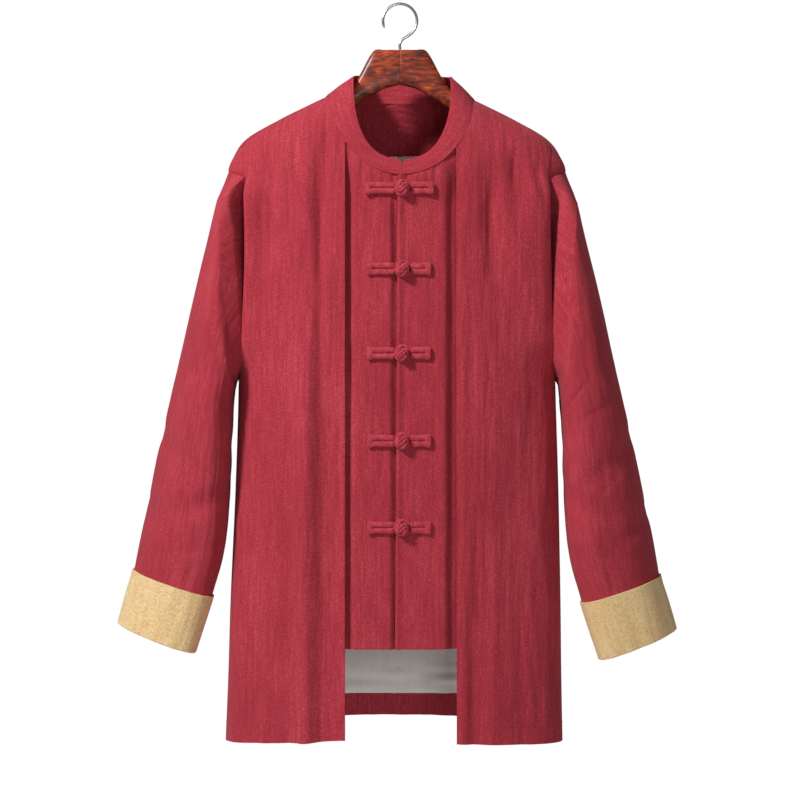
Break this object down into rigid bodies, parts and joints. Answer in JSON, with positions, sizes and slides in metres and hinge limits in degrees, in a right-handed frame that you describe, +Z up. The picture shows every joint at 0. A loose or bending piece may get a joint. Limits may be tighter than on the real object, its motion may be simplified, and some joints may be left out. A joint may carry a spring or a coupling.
{
  "type": "hanfu jacket on a wooden hanger",
  "caption": "Long sleeved jacket with a stand collar, open outer fronts over short buttoned inner fronts, knotted closures and turned back cuffs, hanging on a wooden hanger.",
  "frame": {"origin": "inside top of the hanger's hook, where it hangs on a rod", "axes": "+Z up, the front faces -Y, +X to the right of someone who looks at the front"},
  "size_m": [0.756, 0.1855, 0.9876],
  "materials": {
    "red_cloth": "matte slubbed linen and cotton weave, brick red",
    "tan_cloth": "matte coarse linen weave, tan",
    "grey_lining": "smooth lining cloth, light grey with a soft sheen",
    "frog_cord": "bias cords of the red cloth, stitched and knotted",
    "wood": "dark reddish brown varnished wood with a flame figure",
    "hook_steel": "plain bright steel wire"
  },
  "bodies": {
    "root": {"back": "red_cloth", "front_outer_left": "red_cloth", "front_outer_right": "red_cloth", "front_inner_left": "red_cloth", "front_inner_right": "red_cloth", "collar": "red_cloth", "sleeve_left": "red_cloth", "sleeve_right": "red_cloth", "cuff_left": "tan_cloth", "cuff_right": "tan_cloth", "lining_back": "grey_lining", "frog_1_knot_half": "frog_cord", "frog_1_loop_half": "frog_cord", "frog_1_knot": "frog_cord", "frog_2_knot_half": "frog_cord", "frog_2_loop_half": "frog_cord", "frog_2_knot": "frog_cord", "frog_3_knot_half": "frog_cord", "frog_3_loop_half": "frog_cord", "frog_3_knot": "frog_cord", "frog_4_knot_half": "frog_cord", "frog_4_loop_half": "frog_cord", "frog_4_knot": "frog_cord", "frog_5_knot_half": "frog_cord", "frog_5_loop_half": "frog_cord", "frog_5_knot": "frog_cord", "hanger_arm_left": "wood", "hanger_arm_right": "wood", "hanger_hook": "hook_steel"}
  },
  "joints": []
}
